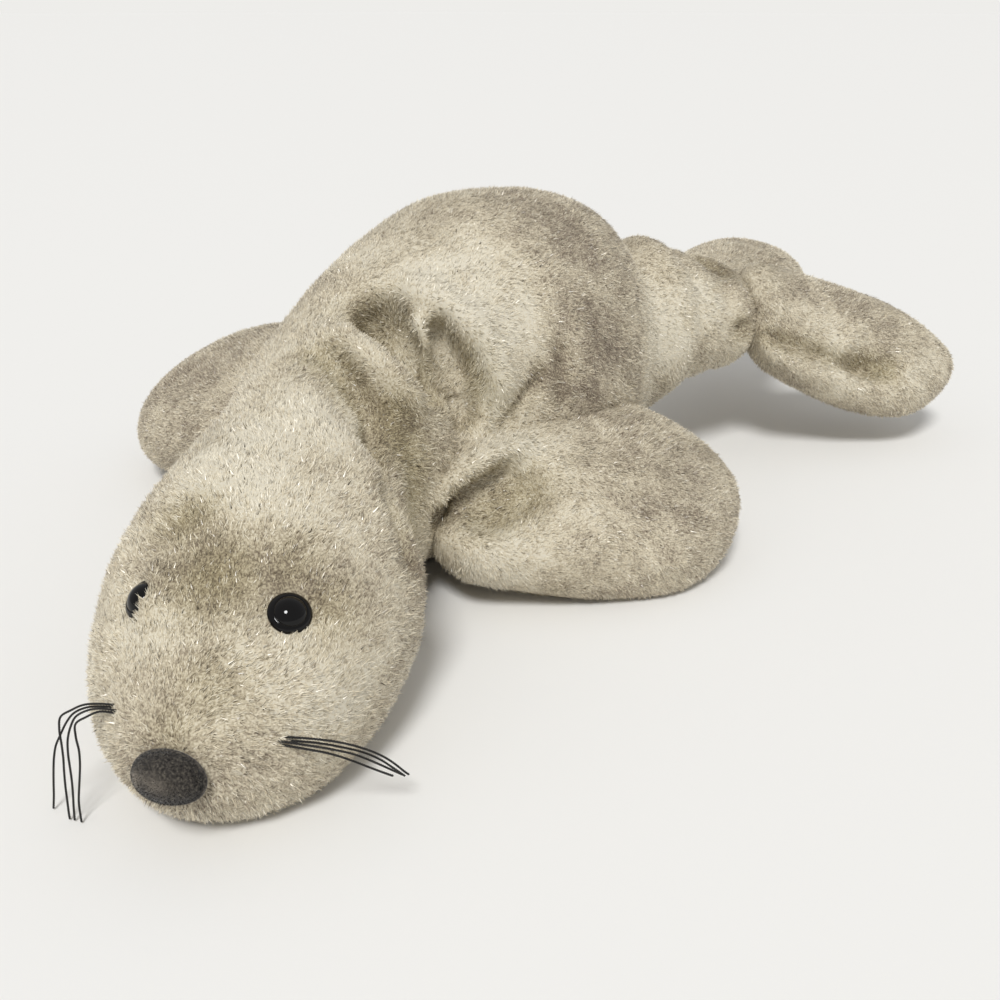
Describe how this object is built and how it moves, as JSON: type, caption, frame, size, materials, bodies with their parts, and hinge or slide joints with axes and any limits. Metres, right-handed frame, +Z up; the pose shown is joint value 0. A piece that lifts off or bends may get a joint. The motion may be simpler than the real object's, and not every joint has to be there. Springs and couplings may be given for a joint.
{
  "type": "plush seal",
  "caption": "Plush toy seal lying on its belly, with stuffed flippers, black eyes, a flocked nose and thread whiskers.",
  "frame": {"origin": "middle of the base, on the surface it lies on", "axes": "+Z up; +Y from nose to tail, the seal's own left side towards +X"},
  "size_m": [0.2908, 0.4932, 0.131],
  "materials": {
    "plush": "short silvery pile",
    "eyes": "polished",
    "nose": "flocked",
    "washers": "moulded",
    "thread": "waxed"
  },
  "bodies": {
    "root": {"body": "plush", "fore_flipper_left": "plush", "fore_flipper_right": "plush", "hind_flipper_left": "plush", "hind_flipper_right": "plush", "eye_left": "eyes", "eye_right": "eyes", "eye_washer_left": "washers", "eye_washer_right": "washers", "nose": "nose", "nose_washer": "washers", "whisker_left_1": "thread", "whisker_left_2": "thread", "whisker_left_3": "thread", "whisker_left_4": "thread", "whisker_right_1": "thread", "whisker_right_2": "thread", "whisker_right_3": "thread", "whisker_right_4": "thread"}
  },
  "joints": []
}
